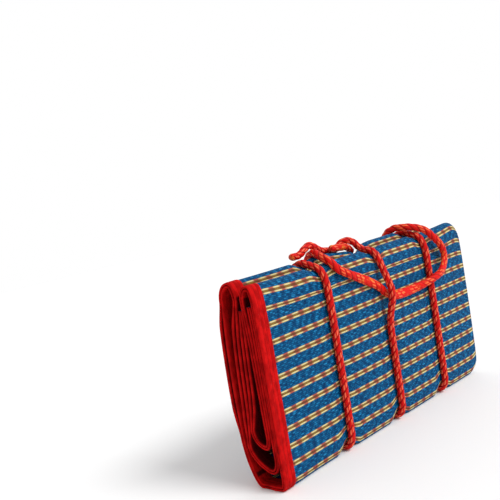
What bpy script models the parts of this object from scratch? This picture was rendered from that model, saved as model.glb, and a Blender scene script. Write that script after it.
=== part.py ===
"""A woven plastic floor mat, folded to a flat bundle, tied with cord and standing on its long fold.

The mat is doubled over along its straws, so that both bound edges lie together at the left end, and
the double sheet is then folded across: six upright legs, joined by three bottom folds, one inside
the other, and by two crests side by side. X runs along the bundle, Y from its front to its back.
"""

import math

import bmesh
import bpy
import numpy as np

MM = 0.001

# The bundle, in millimetres: u runs along it from the bound end, y from its front face to its back.
BUNDLE_LENGTH = 614.0
BUNDLE_MIDDLE_Y = 39.6
ORIGIN_Y = 40.2
BUNDLE_VALLEY_Y = 32.9
CREST_HEIGHT = 322.0
BUNDLE_CENTRE = np.array([BUNDLE_MIDDLE_Y, 0.5 * CREST_HEIGHT])
SHEET_THICKNESS = 1.5
SHEET_SPACING = 4.2
LEVEL_LEAST = 6.0
MOST_MITRE = 1.15

# The tape sewn round each bound edge.
TAPE_WIDTH = 25.5
TAPE_THICKNESS = 0.6
TAPE_CLEARANCE = 0.4

# The cords.
TIE_RADIUS = 6.4
HANDLE_RADIUS = 6.9
CLEARANCE = 0.3
TIE_SLACK = 0.15
HANDLE_SLACK = 0.25
BEND_STEP = 0.32
TIE_STRAY = 0.1
KNOT_STRAY = 0.2
HANDLE_STRAY = 0.35
CLOSEST_POINTS = 1.5
FARTHEST_POINTS = 60.0
FINE_STEP = 1.5
CLEARING_ROUNDS = 3

# The knot: the middle tie's long end crosses over its short one, and both lie along the back crest.
KNOT_FRONT_Y = 30.0
KNOT_BACK_Y = 66.0
LONG_END_ROUTE = (
    # u, y, z, lift
    (164.0, 57.0, 333.0, 13.0),
    (173.0, 57.0, 333.0, 13.9),
    (184.0, 57.0, 333.0, 12.4),
    (197.0, 57.0, 339.0, 12.2),
    (210.0, 57.0, 344.0, 15.4),
    (223.0, 58.0, 340.0, 11.2),
    (237.0, 60.0, 334.0, 4.5),
    (249.0, 61.5, 330.0, 1.5),
    (262.0, 62.0, 328.0, 1.2),
    (278.0, 62.5, 325.0, 1.0),
    (290.0, 62.5, 327.0, 5.0),
    (300.0, 59.5, 331.0, 11.5),
    (309.0, 52.0, 334.0, 15.6),
    (315.5, 44.5, 331.0, 14.2),
    (320.5, 37.5, 323.0, 7.0),
)
SHORT_END_ROUTE = (
    # u, y, z, lift
    (323.5, 60.5, 316.0, 2.2),
    (317.0, 54.5, 317.0, 0.9),
    (308.0, 50.0, 318.0, 0.9),
    (297.0, 47.5, 321.0, 0.8),
    (283.0, 46.5, 324.0, 0.7),
    (269.0, 46.0, 326.0, 0.7),
    (256.0, 45.5, 327.0, 0.7),
)

# The carry cord: hitched over the ties on the back, over the crests and slack on the front.
HANDLE_UNDER_TIE_Z = 233.0
HANDLE_UNDER_TIE_REACH = 36.0
HANDLE_UNDER_TIE_ROOM = 0.8
HANDLE_ROUTE = (
    # u, y, z, lift
    (146.0, 84.0, 262.0, 0.0),
    (173.0, 84.0, 266.0, 14.4),
    (199.0, 84.0, 280.0, 1.5),
    (211.0, 82.0, 298.0, 0.0),
    (215.0, 70.0, 318.0, 0.0),
    (210.0, 52.0, 326.0, 0.0),
    (203.0, 34.0, 322.0, 0.0),
    (198.0, 17.0, 314.0, 0.0),
    (205.0, 2.0, 302.0, 0.0),
    (231.0, -3.0, 286.0, 0.0),
    (256.0, -3.0, 274.5, 0.0),
    (291.0, -3.0, 257.0, 0.0),
    (312.0, -3.0, 244.0, 0.0),
    (332.0, -3.0, 229.5, 0.0),
    (354.0, -3.0, 222.5, 0.0),
    (382.0, -3.0, 220.0, 0.0),
    (415.0, -3.0, 220.5, 1.0),
    (447.0, -8.0, 224.0, 6.0),
    (477.0, -10.0, 230.0, 14.2),
    (502.0, -10.0, 235.0, 9.0),
    (519.0, -10.0, 244.0, 6.0),
    (527.0, -10.0, 258.0, 5.0),
    (523.0, -10.0, 274.0, 5.5),
    (512.0, -9.0, 290.0, 6.0),
    (498.0, -5.0, 304.0, 7.5),
    (488.0, 5.0, 316.0, 11.5),
    (479.0, 16.0, 321.0, 14.4),
    (470.0, 27.0, 325.0, 14.0),
    (461.0, 40.0, 326.0, 7.0),
    (455.0, 54.0, 325.0, 2.0),
    (452.0, 70.0, 316.0, 0.0),
    (453.0, 80.0, 298.0, 0.0),
    (460.0, 84.0, 280.0, 5.0),
    (477.0, 84.0, 268.0, 14.4),
    (502.0, 84.0, 261.0, 0.5),
)
TIE_U = (173.0, 326.0, 477.0)

# Each leg: height and depth of its foot, its depth at three heights, then its head.
MID_HEIGHTS = (125.0, 190.0, 250.0)
LEGS = {
    # name: foot_z, foot_y, y_low, y_mid, y_high, head_z, head_y
    "front_inner": (48.0, 12.3, 12.3, 12.7, 13.2, 286.0, 14.4),
    "back_middle": (66.0, 62.8, 57.6, 54.6, 49.4, 293.0, 41.0),
    "back_outer": (80.0, 74.4, 77.2, 76.8, 73.8, 293.0, 68.6),
    "front_outer": (20.0, 3.9, 3.9, 3.9, 3.9, 281.0, 4.3),
    "front_middle": (84.0, 20.8, 20.9, 21.9, 23.2, 292.0, 26.0),
    "back_inner": (92.0, 50.6, 43.6, 38.8, 34.9, 279.0, 32.9),
}

# Each fold: the stretch of depth over which it lies level, its height, and how round its two halves are.
FOLDS = {
    # name: level_from_y, level_to_y, z, bend_from, bend_to, steps
    "bottom_middle": (22.0, 26.0, 29.0, 1.0, 1.25, 3),
    "crest_back": (50.5, 51.5, 319.2, 1.0, 1.0, 3),
    "bottom_outer": (50.0, 11.5, 2.83, 1.25, 1.0, 4),
    "crest_front": (13.5, 14.5, 314.6, 1.0, 1.0, 4),
    "bottom_inner": (28.0, 30.0, 66.0, 1.0, 1.0, 3),
}

# The whole strip, from one woven end to the other: a leg and the way it is followed, or a fold.
STRIP = (
    ("front_inner", "down"),
    ("bottom_middle", "fold"),
    ("back_middle", "up"),
    ("crest_back", "fold"),
    ("back_outer", "down"),
    ("bottom_outer", "fold"),
    ("front_outer", "up"),
    ("crest_front", "fold"),
    ("front_middle", "down"),
    ("bottom_inner", "fold"),
    ("back_inner", "up"),
)

# How far each depth of the bundle stands out at the bound end, and falls short at the folded end.
END_STAGGER = {
    # depth_y: bound_end, folded_end
    0.0: (2.0, 0.0),
    12.0: (4.5, 3.0),
    22.0: (2.5, 6.0),
    38.0: (3.5, 12.0),
    56.0: (1.5, 18.0),
    80.0: (0.0, 12.0),
}
STAGGER_REACH = 90.0

# What changes along the bundle.
NOTCH_FLAT = 5.5
NOTCH_REACH = 26.0
NOTCH_FLOOR = 14.0
NOTCH_FLOOR_REACH = 62.0
NOTCH_CREST_FRONT = 9.0
NOTCH_CREST_BACK = 11.0
NOTCH_CREST_FROM = 268.0
CREST_LEAN = 10.0
CREST_LEAN_AT_END = 0.35
CREST_LEAN_DEPTH = 30.0
FOLDED_END_REACH = 100.0
BACK_CREST_DROP = 17.0
BACK_CREST_FROM_Y = 28.0
BACK_CREST_TO_Y = 40.0
KNOT_SAG = 7.0
KNOT_SAG_U = 303.0
KNOT_SAG_REACH = 72.0
CREST_CLOSE = 3.2
CREST_CLOSE_HEIGHT = 30.0
VALLEY_FRONT_Y = 28.8
VALLEY_BACK_Y = 38.2
VALLEY_OPEN_TO = 20.0
VALLEY_CLOSED_FROM = 80.0
NOTCH_SIDE = 0.075
OPEN_END_REACH = 120.0
CLOSED_SHARE = 0.93
CORNER_RADIUS = 24.0
CORNER_DROP = 19.0
UNDER_ROUND = 2.0
UNDER_ROUND_HEIGHT = 52.0
UNDER_ROUND_FROM = 25.0
UNDER_ROUND_REACH = 70.0
END_LIFT = TAPE_THICKNESS + TAPE_CLEARANCE + 0.05
FACE_SWELL = 1.6

# Where the sheet has its lines across the bundle, besides the four at each tie.
PLAIN_COLUMNS = (2.0, 28.0, 95.0, 250.0, 401.0, 545.0, 586.0)
TIE_COLUMNS = (-NOTCH_REACH, -NOTCH_FLAT, NOTCH_FLAT, NOTCH_REACH)
CORNER_COLUMNS = (600.0,)

COLOURS = {
    "woven_straw": (0.012, 0.110, 0.390, 1.0),
    "binding_tape": (0.620, 0.012, 0.010, 1.0),
    "tie_cord": (0.560, 0.015, 0.012, 1.0),
    "handle_cord": (0.640, 0.030, 0.016, 1.0),
}


def smooth(value):
    """0 below 0, 1 above 1, with a level start and end."""
    value = np.clip(value, 0.0, 1.0)
    return value * value * (3.0 - 2.0 * value)


def leg_points(name):
    """A leg's points from foot to head."""
    foot_z, foot_y, *depths, head_z, head_y = LEGS[name]
    middle = list(zip(depths, MID_HEIGHTS))
    return [(foot_y, foot_z), *middle, (head_y, head_z)]


def quarter(leg_end, level_end, bend, steps):
    """The points between a leg's end and the level part of a fold, on a quarter of an oval."""
    points = []
    for step in range(1, steps):
        angle = 0.5 * math.pi * step / steps
        across = math.cos(angle) ** bend
        along = math.sin(angle) ** bend
        y = level_end[0] + (leg_end[0] - level_end[0]) * across
        z = leg_end[1] + (level_end[1] - leg_end[1]) * along
        points.append((y, z))
    return points


def fold_points(name, before, after):
    """A fold's points between the leg end before it and the one after it."""
    level_from, level_to, height, bend_from, bend_to, steps = FOLDS[name]
    first, last = (level_from, height), (level_to, height)
    down = quarter(before, first, bend_from, steps)
    up = quarter(after, last, bend_to, steps)[::-1]
    level = [first] if abs(level_to - level_from) < LEVEL_LEAST else [first, last]
    return [*down, *level, *up]


def strip_path():
    """The middle line of the double sheet across the bundle: an array of (y, z)."""
    legs = {}
    for name, way in STRIP:
        if way != "fold":
            points = leg_points(name)
            legs[name] = points if way == "up" else points[::-1]
    path = []
    for index, (name, way) in enumerate(STRIP):
        if way == "fold":
            before = legs[STRIP[index - 1][0]][-1]
            after = legs[STRIP[index + 1][0]][0]
            path += fold_points(name, before, after)
        else:
            path += legs[name]
    return np.array(path)


def path_normals(path):
    """Normals to the left of the path, outwards on the bundle's own faces, and longer where it turns."""
    steps = np.diff(path, axis=0)
    steps /= np.linalg.norm(steps, axis=1)[:, None]
    before = np.vstack([steps[:1], steps])
    after = np.vstack([steps, steps[-1:]])
    along = before + after
    along /= np.linalg.norm(along, axis=1)[:, None]
    mitre = np.minimum(1.0 / np.sum(along * after, axis=1), MOST_MITRE)
    return np.column_stack([-along[:, 1], along[:, 0]]) * mitre[:, None]


def tie_share(u):
    """1 under a tie, falling to 0 beside it."""
    share = np.zeros_like(u)
    for tie_u in TIE_U:
        away = np.abs(u - tie_u)
        share = np.maximum(share, np.clip((NOTCH_REACH - away) / (NOTCH_REACH - NOTCH_FLAT), 0.0, 1.0))
    return share


def settle(u, y, z):
    """Moves points of the plain folded strip to where the tied and standing bundle has them."""
    depths = np.array(sorted(END_STAGGER))
    stagger = np.array([END_STAGGER[depth] for depth in depths])
    near_bound = 1.0 - smooth(u / STAGGER_REACH)
    near_folded = 1.0 - smooth((BUNDLE_LENGTH - u) / STAGGER_REACH)
    shift = near_bound * np.interp(y, depths, stagger[:, 0])
    shift = shift - near_folded * np.interp(y, depths, stagger[:, 1])

    tied = tie_share(u)
    closed = 1.0 - (1.0 - CLOSED_SHARE) * smooth(u / OPEN_END_REACH)
    swell = FACE_SWELL * np.sin(math.pi * np.clip(z / CREST_HEIGHT, 0.0, 1.0)) * smooth(u / OPEN_END_REACH)
    squeezed = closed * (1.0 - NOTCH_SIDE * tied)
    from_middle = (y - BUNDLE_MIDDLE_Y) / BUNDLE_MIDDLE_Y
    new_y = BUNDLE_MIDDLE_Y + (y - BUNDLE_MIDDLE_Y) * squeezed + swell * from_middle * (1.0 - tied)

    under = np.clip((UNDER_ROUND_HEIGHT - z) / UNDER_ROUND_HEIGHT, 0.0, 1.0) ** 2
    under = under * smooth((u - UNDER_ROUND_FROM) / UNDER_ROUND_REACH)
    new_y = new_y + UNDER_ROUND * under * (1.0 - new_y / (2.0 * BUNDLE_MIDDLE_Y))

    floor_notch = NOTCH_FLOOR * np.clip(1.0 - z / NOTCH_FLOOR_REACH, 0.0, 1.0)
    front_share = np.clip(1.0 - y / (2.0 * BUNDLE_MIDDLE_Y), 0.0, 1.0)
    crest_notch = NOTCH_CREST_BACK + (NOTCH_CREST_FRONT - NOTCH_CREST_BACK) * front_share**2
    crest_notch = crest_notch * np.clip((z - NOTCH_CREST_FROM) / (CREST_HEIGHT - NOTCH_CREST_FROM), 0.0, 1.0)
    new_z = z + tied * (floor_notch - crest_notch)

    to_crest = np.clip((z - CREST_HEIGHT + 2.0 * CREST_CLOSE_HEIGHT) / CREST_CLOSE_HEIGHT, 0.0, 1.0)
    lean = CREST_LEAN * np.clip(1.0 - y / CREST_LEAN_DEPTH, 0.0, 1.0)
    lean = lean * (CREST_LEAN_AT_END + (1.0 - CREST_LEAN_AT_END) * smooth(u / OPEN_END_REACH))
    at_folded = smooth(1.0 - (BUNDLE_LENGTH - u) / FOLDED_END_REACH)
    sag = KNOT_SAG * smooth(1.0 - np.abs(u - KNOT_SAG_U) / KNOT_SAG_REACH)
    on_back = smooth((y - BACK_CREST_FROM_Y) / (BACK_CREST_TO_Y - BACK_CREST_FROM_Y))
    drop = lean * (1.0 - at_folded) + on_back * (BACK_CREST_DROP * at_folded + sag)
    new_z = new_z - drop * to_crest
    closing = smooth((u - VALLEY_OPEN_TO) / (VALLEY_CLOSED_FROM - VALLEY_OPEN_TO)) * to_crest * CREST_CLOSE
    towards_back = np.clip(y / VALLEY_FRONT_Y, 0.0, 1.0) * (y < BUNDLE_VALLEY_Y)
    back_span = 2.0 * BUNDLE_MIDDLE_Y - VALLEY_BACK_Y
    towards_front = np.clip((2.0 * BUNDLE_MIDDLE_Y - y) / back_span, 0.0, 1.0) * (y > BUNDLE_VALLEY_Y)
    new_y = new_y + closing * (towards_back - towards_front)

    into_corner = np.clip((u - (BUNDLE_LENGTH - CORNER_RADIUS)) / CORNER_RADIUS, 0.0, 1.0)
    corner = CORNER_DROP * (1.0 - np.sqrt(1.0 - into_corner**2))
    half = 0.5 * CREST_HEIGHT
    new_z = new_z - corner * np.clip((z - half) / half, -1.0, 1.0) ** 3
    lift = END_LIFT * (1.0 - smooth((u - TAPE_WIDTH) / TAPE_WIDTH))
    new_z = new_z + lift * np.clip(1.0 - z / CREST_HEIGHT, 0.0, 1.0)
    return u + shift, new_y, new_z


def to_world(u, y, z):
    """Bundle millimetres to metres, with the origin under the middle of the bundle."""
    return np.stack([(u - 0.5 * BUNDLE_LENGTH) * MM, (y - ORIGIN_Y) * MM, z * MM], axis=-1)


def sheet_columns():
    """Places along the bundle where one layer of the sheet has a line of points."""
    columns = list(PLAIN_COLUMNS) + list(CORNER_COLUMNS)
    for tie_u in TIE_U:
        columns += [tie_u + step for step in TIE_COLUMNS]
    return np.array(sorted(columns))


def doubled_columns():
    """(u, side) of each line of points from one bound edge round the folded end to the other."""
    reach = 0.5 * SHEET_SPACING
    one_way = [(u, 1.0) for u in sheet_columns()]
    turn = []
    for angle in (0.0, 0.25 * math.pi, 0.5 * math.pi, 0.75 * math.pi, math.pi):
        turn.append((BUNDLE_LENGTH - reach + reach * math.sin(angle), math.cos(angle)))
    return one_way + turn + [(u, -1.0) for u, _ in one_way[::-1]]


def layer_point(path, normals, u, side):
    """Settled (u, y, z) of every station of the path, at u, on one side of the double sheet."""
    offset = path + normals * (0.5 * SHEET_SPACING * side)
    return np.stack(settle(np.full(len(path), u), offset[:, 0], offset[:, 1]), axis=-1)


def place(obj, material_name):
    """Gives an object its material and puts it in the mat's collection."""
    material = bpy.data.materials.get(material_name) or bpy.data.materials.new(material_name)
    material.use_nodes = True
    shader = material.node_tree.nodes["Principled BSDF"]
    shader.inputs["Base Color"].default_value = COLOURS[material_name]
    shader.inputs["Roughness"].default_value = 0.45 if material_name == "woven_straw" else 0.6
    shader.inputs["Metallic"].default_value = 0.0
    material.diffuse_color = COLOURS[material_name]
    obj.data.materials.append(material)
    bpy.data.collections["folded_floor_mat"].objects.link(obj)


def grid_sheet(name, points, thickness, material_name):
    """An open sheet through a grid of settled points, thickened evenly about its middle."""
    rows, columns = points.shape[:2]
    mesh = bpy.data.meshes.new(name)
    form = bmesh.new()
    bmesh.ops.create_grid(form, x_segments=columns - 1, y_segments=rows - 1, size=1.0)
    form.verts.ensure_lookup_table()
    world = to_world(points[..., 0], points[..., 1], points[..., 2])
    for vertex in form.verts:
        column = round((vertex.co.x + 1.0) * 0.5 * (columns - 1))
        row = round((vertex.co.y + 1.0) * 0.5 * (rows - 1))
        vertex.co = world[row, column]
    form.to_mesh(mesh)
    form.free()
    mesh.shade_smooth()
    obj = bpy.data.objects.new(name, mesh)
    solid = obj.modifiers.new("sheet_thickness", "SOLIDIFY")
    solid.thickness = thickness * MM
    solid.offset = 0.0
    place(obj, material_name)
    return obj


def make_mat():
    """The whole mat: one sheet, doubled over along its straws and folded across them."""
    path = strip_path()
    normals = path_normals(path)
    lines = [layer_point(path, normals, u, side) for u, side in doubled_columns()]
    grid_sheet("mat_sheet", np.stack(lines, axis=1), SHEET_THICKNESS, "woven_straw")


def make_edge_tape(name, side):
    """The tape folded round one bound edge, along the whole strip."""
    path = strip_path()
    normals = path_normals(path)
    hold = 0.5 * SHEET_THICKNESS + TAPE_CLEARANCE + 0.5 * TAPE_THICKNESS
    edge_u = PLAIN_COLUMNS[0]
    edge = layer_point(path, normals, edge_u, side)
    inner = layer_point(path, normals, TAPE_WIDTH, side)
    run = np.gradient(edge, axis=0)
    across = inner - edge
    out = np.cross(across, run)
    out /= np.linalg.norm(out, axis=1)[:, None]
    wrap = np.array([CLEARANCE, 0.0, 0.0])
    lines = [
        inner + out * hold,
        edge + out * hold - wrap,
        edge - np.array([hold, 0.0, 0.0]) - wrap,
        edge - out * hold - wrap,
        inner - out * hold,
    ]
    grid_sheet(name, np.stack(lines, axis=1), TAPE_THICKNESS, "binding_tape")


def convex_loop(points):
    """The corners of the tight loop round a set of (y, z) points, in order."""
    ordered = sorted(map(tuple, points))

    def chain(sequence):
        kept = []
        for point in sequence:
            while len(kept) > 1:
                (y0, z0), (y1, z1) = kept[-2], kept[-1]
                if (y1 - y0) * (point[1] - z0) - (z1 - z0) * (point[0] - y0) > 0.0:
                    break
                kept.pop()
            kept.append(point)
        return kept[:-1]

    return np.array(chain(ordered) + chain(ordered[::-1]))


def rounded_loop(corners, distance):
    """A closed line at a distance outside the loop's corners, with more points where it bends."""
    before = corners - np.roll(corners, 1, axis=0)
    after = np.roll(corners, -1, axis=0) - corners
    before /= np.linalg.norm(before, axis=1)[:, None]
    after /= np.linalg.norm(after, axis=1)[:, None]
    line = []
    for corner, come, leave in zip(corners, before, after):
        start = math.atan2(-come[0], come[1])
        turn = math.atan2(come[0] * leave[1] - come[1] * leave[0], come @ leave)
        for share in np.linspace(0.0, 1.0, 2 + int(turn / BEND_STEP)):
            angle = start + share * turn
            line.append(corner + distance * np.array([math.cos(angle), math.sin(angle)]))
    kept = [line[0]]
    for point in line[1:]:
        if np.linalg.norm(point - kept[-1]) > CLOSEST_POINTS:
            kept.append(point)
    return np.array(kept)


def outline_at(u):
    """The tight loop round the bundle at one place along it."""
    path = strip_path()
    normals = path_normals(path)
    columns = sheet_columns()
    after = int(np.clip(np.searchsorted(columns, u), 1, len(columns) - 1))
    share = (u - columns[after - 1]) / (columns[after] - columns[after - 1])
    before_layer = layer_point(path, normals, columns[after - 1], 1.0)
    after_layer = layer_point(path, normals, columns[after], 1.0)
    return convex_loop((before_layer + (after_layer - before_layer) * share)[:, 1:])


def pushed_out(outline, point, distance):
    """A (y, z) point moved square to the outline until it is at a distance outside it."""
    ahead = np.roll(outline, -1, axis=0)
    along = ahead - outline
    share = np.clip(np.sum((point - outline) * along, axis=1) / np.sum(along**2, axis=1), 0.0, 1.0)
    foot = outline + along * share[:, None]
    nearest = np.argmin(np.linalg.norm(point - foot, axis=1))
    away = point - foot[nearest]
    outward = np.array([along[nearest, 1], -along[nearest, 0]])
    if away @ outward <= 0.0 or np.linalg.norm(away) < 0.01:
        away = outward
    return foot[nearest] + distance * away / np.linalg.norm(away)


def smooth_route(points, step):
    """Points every step on a smooth curve through the route's own points."""
    points = np.asarray(points, dtype=float)
    spans = np.linalg.norm(np.diff(points[:, :3], axis=0), axis=1)
    slopes = np.diff(points, axis=0) / spans[:, None]
    both = (spans[1:] + spans[:-1])[:, None]
    inner = (slopes[:-1] * spans[1:, None] + slopes[1:] * spans[:-1, None]) / both
    tangents = np.vstack([slopes[:1], inner, slopes[-1:]])
    dense = [points[0]]
    for index, span in enumerate(spans):
        for t in np.linspace(0.0, 1.0, 1 + max(1, round(span / step)))[1:]:
            start = points[index] * (1.0 - 3.0 * t**2 + 2.0 * t**3)
            start = start + tangents[index] * span * (t - 2.0 * t**2 + t**3)
            end = points[index + 1] * (3.0 * t**2 - 2.0 * t**3)
            dense.append(start + end + tangents[index + 1] * span * (t**3 - t**2))
    return np.array(dense)


def thinned(points, stray, closed=False):
    """Fewer points of a finely divided line, with no straight run leaving it by more than a little."""
    points = np.vstack([points, points[:1]]) if closed else points
    kept = [0]
    for index in range(2, len(points)):
        start, chord = points[kept[-1]], points[index] - points[kept[-1]]
        length = np.linalg.norm(chord)
        passed = points[kept[-1] + 1:index] - start
        astray = passed - np.outer(passed @ chord, chord) / length**2
        if length > FARTHEST_POINTS or np.linalg.norm(astray, axis=1).max() > stray:
            kept.append(index - 1)
    return points[kept] if closed else points[kept + [len(points) - 1]]


def held_clear(points, seat):
    """Moves the points of a thinned line out, where a straight run between two of them cuts too near."""
    points = points.copy()
    for _ in range(CLEARING_ROUNDS):
        for index in range(len(points) - 1):
            middle = 0.5 * (points[index] + points[index + 1])
            seated = pushed_out(outline_at(middle[0]), middle[1:], seat)
            short = seated - middle[1:]
            inward = BUNDLE_CENTRE - middle[1:]
            if short @ inward < 0.0:
                points[index, 1:] += short
                points[index + 1, 1:] += short
    return points


def tie_loop(tie_u):
    """The middle line of one tie round the bundle, finely divided: an array of (u, y, z)."""
    distance = 0.5 * SHEET_THICKNESS + CLEARANCE + TIE_RADIUS + TIE_SLACK
    loop = rounded_loop(outline_at(tie_u), distance)
    loop = np.column_stack([np.full(len(loop), tie_u), loop])
    dense = []
    for point, ahead in zip(loop, np.roll(loop, -1, axis=0)):
        count = 1 + int(np.linalg.norm(ahead - point) / FINE_STEP)
        dense += [point + (ahead - point) * share for share in np.arange(count) / count]
    return np.array(dense)


def seated(rows, seat):
    """Each row's point moved out until it lies on the bundle, or stands off it by the row's lift."""
    laid = []
    for u, y, z, lift in rows:
        laid.append((u, *pushed_out(outline_at(u), np.array([y, z]), seat + max(lift, 0.0))))
    return laid


def middle_tie_route():
    """The middle tie from its long free end, round the bundle and through the knot to its short end."""
    loop = tie_loop(TIE_U[1])
    front = loop[:, 1] < 0.5 * BUNDLE_MIDDLE_Y
    over = np.exp(-(((loop[:, 2] - HANDLE_UNDER_TIE_Z) / HANDLE_UNDER_TIE_REACH) ** 2))
    loop[:, 1] -= front * over * (2.0 * HANDLE_RADIUS + CLEARANCE + HANDLE_UNDER_TIE_ROOM)
    on_top = loop[:, 2] > MID_HEIGHTS[-1]
    ahead = np.roll(loop, -1, axis=0)
    starts = on_top & (loop[:, 1] >= KNOT_FRONT_Y) & (ahead[:, 1] < KNOT_FRONT_Y)
    loop = np.roll(loop, -int(np.argmax(starts)) - 1, axis=0)
    on_top = loop[:, 2] > MID_HEIGHTS[-1]
    keep = ~(on_top & (loop[:, 1] < KNOT_BACK_Y) & (loop[:, 1] > KNOT_FRONT_Y))
    loop = loop[keep]
    seat = 0.5 * SHEET_THICKNESS + CLEARANCE + TIE_RADIUS + TIE_SLACK
    long_end = smooth_route([*seated(LONG_END_ROUTE, seat), loop[0], loop[4]], FINE_STEP)
    short_end = smooth_route([loop[-5], loop[-1], *seated(SHORT_END_ROUTE, seat)], FINE_STEP)
    join = int(np.argmin(np.linalg.norm(long_end - loop[0], axis=1)))
    leave = int(np.argmin(np.linalg.norm(short_end - loop[-1], axis=1)))
    return np.vstack([long_end[:join], loop, short_end[leave + 1:]])


def handle_route():
    """The carry cord's middle line, laid on the bundle: an array of (u, y, z)."""
    seat = 0.5 * SHEET_THICKNESS + CLEARANCE + HANDLE_RADIUS + HANDLE_SLACK
    laid = seated(smooth_route(HANDLE_ROUTE, FINE_STEP), seat)
    return held_clear(thinned(np.array(laid), HANDLE_STRAY), seat)


def cord(name, points, radius, closed, material_name):
    """A round cord along (u, y, z) points."""
    curve = bpy.data.curves.new(name, "CURVE")
    curve.dimensions = "3D"
    curve.bevel_depth = radius * MM
    curve.bevel_resolution = 2
    curve.use_fill_caps = not closed
    spline = curve.splines.new("POLY")
    spline.points.add(len(points) - 1)
    world = to_world(points[:, 0], points[:, 1], points[:, 2])
    for spline_point, place_at in zip(spline.points, world):
        spline_point.co = (*place_at, 1.0)
    spline.use_cyclic_u = closed
    obj = bpy.data.objects.new(name, curve)
    place(obj, material_name)
    return obj


def make_cords():
    cord("tie_left", thinned(tie_loop(TIE_U[0]), TIE_STRAY, closed=True), TIE_RADIUS, True, "tie_cord")
    cord("tie_middle", thinned(middle_tie_route(), KNOT_STRAY), TIE_RADIUS, False, "tie_cord")
    cord("tie_right", thinned(tie_loop(TIE_U[2]), TIE_STRAY, closed=True), TIE_RADIUS, True, "tie_cord")
    cord("carry_cord", handle_route(), HANDLE_RADIUS, False, "handle_cord")


def clear_scene():
    for obj in list(bpy.data.objects):
        bpy.data.objects.remove(obj, do_unlink=True)
    collection = bpy.data.collections.new("folded_floor_mat")
    bpy.context.scene.collection.children.link(collection)


def main():
    clear_scene()
    make_mat()
    make_edge_tape("edge_tape_outer", 1.0)
    make_edge_tape("edge_tape_inner", -1.0)
    make_cords()


main()
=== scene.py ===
"""The visual model of a folded woven floor mat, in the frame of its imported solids.

The mat is doubled over along its straws, folded across them and tied with three cords, and a fourth
cord to carry it by is slung between the ties. X runs along the bundle, Y from front to back, Z up.
"""

import math
from functools import cache, partialmethod

import bpy
import numpy as np
from mathutils import Matrix, Vector


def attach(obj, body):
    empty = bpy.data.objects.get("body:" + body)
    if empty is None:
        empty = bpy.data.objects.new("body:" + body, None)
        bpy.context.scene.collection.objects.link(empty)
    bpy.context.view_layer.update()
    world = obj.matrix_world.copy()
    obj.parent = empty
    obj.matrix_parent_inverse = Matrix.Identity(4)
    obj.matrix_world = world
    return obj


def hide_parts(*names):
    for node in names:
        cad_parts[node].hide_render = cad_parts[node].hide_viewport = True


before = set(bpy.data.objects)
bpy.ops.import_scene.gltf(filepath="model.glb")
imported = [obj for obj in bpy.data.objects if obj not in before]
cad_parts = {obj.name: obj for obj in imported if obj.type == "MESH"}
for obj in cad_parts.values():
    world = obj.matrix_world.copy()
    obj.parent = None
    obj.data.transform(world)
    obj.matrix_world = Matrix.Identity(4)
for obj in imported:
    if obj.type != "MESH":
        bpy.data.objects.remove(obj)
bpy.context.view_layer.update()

MM = 0.001
BODY = "root"

# The bundle, in millimetres: u runs along it from the bound end, y from its front face to its back.
BUNDLE_LENGTH = 614.0
BUNDLE_MIDDLE_Y = 39.6
BUNDLE_DEPTH = 2.0 * BUNDLE_MIDDLE_Y
ORIGIN_Y = 40.2
BUNDLE_VALLEY_Y = 32.9
CREST_HEIGHT = 322.0
SHEET_THICKNESS = 1.5
SHEET_SPACING = 4.2
LEVEL_LEAST = 6.0
MOST_MITRE = 1.15
EDGE_U = 2.0
TAPE_WIDTH = 25.5
TAPE_THICKNESS = 0.6
TAPE_CLEARANCE = 0.4

# The straws: nine to a repeat of the pattern, three of them in its dashed stripe.
RIB = 27.05 / 9.0
RIB_RAISE = 0.42
RIB_UNEVEN = 0.1
ROWS_PER_RIB = 4
STRIPE_Z = 279.0
FINE_FROM_Z = 255.0
LEG_ROW_STEP = 24.0
FOLD_ROW_STEP = 3.0
FOLD_STEPS = 24
PATH_STEP = 0.25
PATH_EASE = 6
CREST_SPLIT = 0.35
BENT_FROM = 0.012
ROW_MATCH = 0.1
STEP_SLACK = 0.01
UNEVEN_TURNS = (12.9898, 4.1414)

# The cords.
TIE_RADIUS = 6.4
TIE_LAY = 38.0
HANDLE_RADIUS = 6.9
HANDLE_LAY = 42.0
CLEARANCE = 0.3
TIE_SLACK = 0.15
HANDLE_SLACK = 0.25
BEND_STEP = 0.32
CLOSEST_POINTS = 1.5
FINE_STEP = 1.5
TIE_SEAT = 0.5 * SHEET_THICKNESS + CLEARANCE + TIE_RADIUS + TIE_SLACK
HANDLE_SEAT = 0.5 * SHEET_THICKNESS + CLEARANCE + HANDLE_RADIUS + HANDLE_SLACK
TIE_U = (173.0, 326.0, 477.0)

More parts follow.
